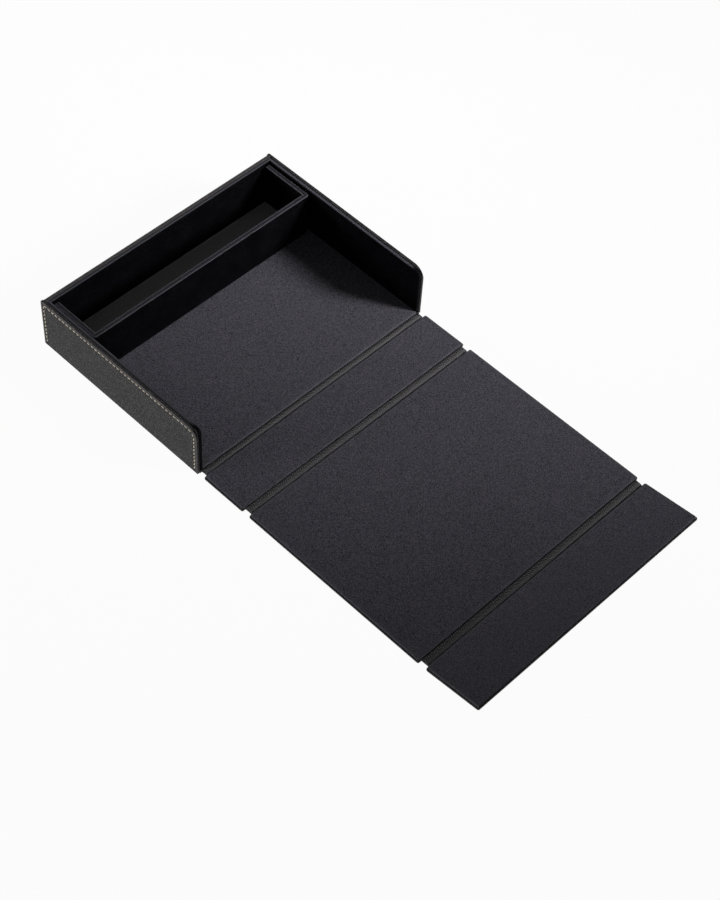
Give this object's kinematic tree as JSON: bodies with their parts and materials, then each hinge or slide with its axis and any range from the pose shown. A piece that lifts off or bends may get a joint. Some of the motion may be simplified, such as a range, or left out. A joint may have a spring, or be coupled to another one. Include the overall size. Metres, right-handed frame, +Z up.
{
  "type": "game storage box with fold-out rolling mat",
  "caption": "Leather-wrapped storage box whose hinged lid folds out flat as a felt-lined rolling mat, with a loose divider tray along its back wall.",
  "frame": {"origin": "on the ground, at the middle of the whole box with its lid folded out flat", "axes": "+Z up, +Y from the folded-out lid towards the box's back wall, +X to the right seen from the lid"},
  "size_m": [0.2052, 0.3967, 0.0423],
  "materials": {
    "outer_leather": "matte",
    "hinge_lining": "matte",
    "felt": "matte",
    "suede": "matte",
    "thread": "matte",
    "tray_floor": "satin",
    "board": "matte",
    "magnet": "satin"
  },
  "bodies": {
    "box": {"back_liner_card": "board", "back_liner_suede": "suede", "back_magnets": "magnet", "back_wall_board": "board", "back_wall_leather": "outer_leather", "base_board": "board", "base_leather": "outer_leather", "floor_card": "board", "floor_felt": "felt", "front_hinge_leather": "outer_leather", "front_hinge_lining": "hinge_lining", "left_liner_card": "board", "left_liner_suede": "suede", "left_stitching": "thread", "left_wall_board": "board", "left_wall_leather": "outer_leather", "right_liner_card": "board", "right_liner_suede": "suede", "right_stitching": "thread", "right_wall_board": "board", "right_wall_leather": "outer_leather"},
    "front_panel": {"front_panel_board": "board", "front_panel_card": "board", "front_panel_felt": "felt", "front_panel_leather": "outer_leather", "middle_hinge_leather": "outer_leather", "middle_hinge_lining": "hinge_lining"},
    "lid_panel": {"lid_panel_board": "board", "lid_panel_card": "board", "lid_panel_felt": "felt", "lid_panel_leather": "outer_leather", "rear_hinge_leather": "outer_leather", "rear_hinge_lining": "hinge_lining"},
    "closing_flap": {"closing_flap_board": "board", "closing_flap_card": "board", "closing_flap_felt": "felt", "closing_flap_leather": "outer_leather", "closing_flap_magnets": "magnet"},
    "tray": {"tray_floor_board": "board", "tray_floor_lining": "tray_floor", "tray_front_board": "board", "tray_inner_suede": "suede", "tray_left_end_board": "board", "tray_outer_suede": "suede", "tray_right_end_board": "board"}
  },
  "joints": [
    {"name": "front_hinge", "type": "hinge", "parent": "box", "child": "front_panel", "pos_m": [0, 0.04415, 0.0014], "axis": [-1, 0, 0], "range_deg": [0, 90], "deforming": ["front_hinge_leather", "front_hinge_lining"]},
    {"name": "middle_hinge", "type": "hinge", "parent": "front_panel", "child": "lid_panel", "pos_m": [0, 0.00155, 0.0016], "axis": [-1, 0, 0], "range_deg": [0, 90], "deforming": ["middle_hinge_leather", "middle_hinge_lining"]},
    {"name": "rear_hinge", "type": "hinge", "parent": "lid_panel", "child": "closing_flap", "pos_m": [0, -0.15465, 0.0011], "axis": [-1, 0, 0], "range_deg": [-6.5, 83.5], "deforming": ["rear_hinge_leather", "rear_hinge_lining"]},
    {"name": "tray_slide", "type": "slide", "parent": "box", "child": "tray", "axis": [0, -1, 0], "range_m": [0, 0.1]}
  ]
}
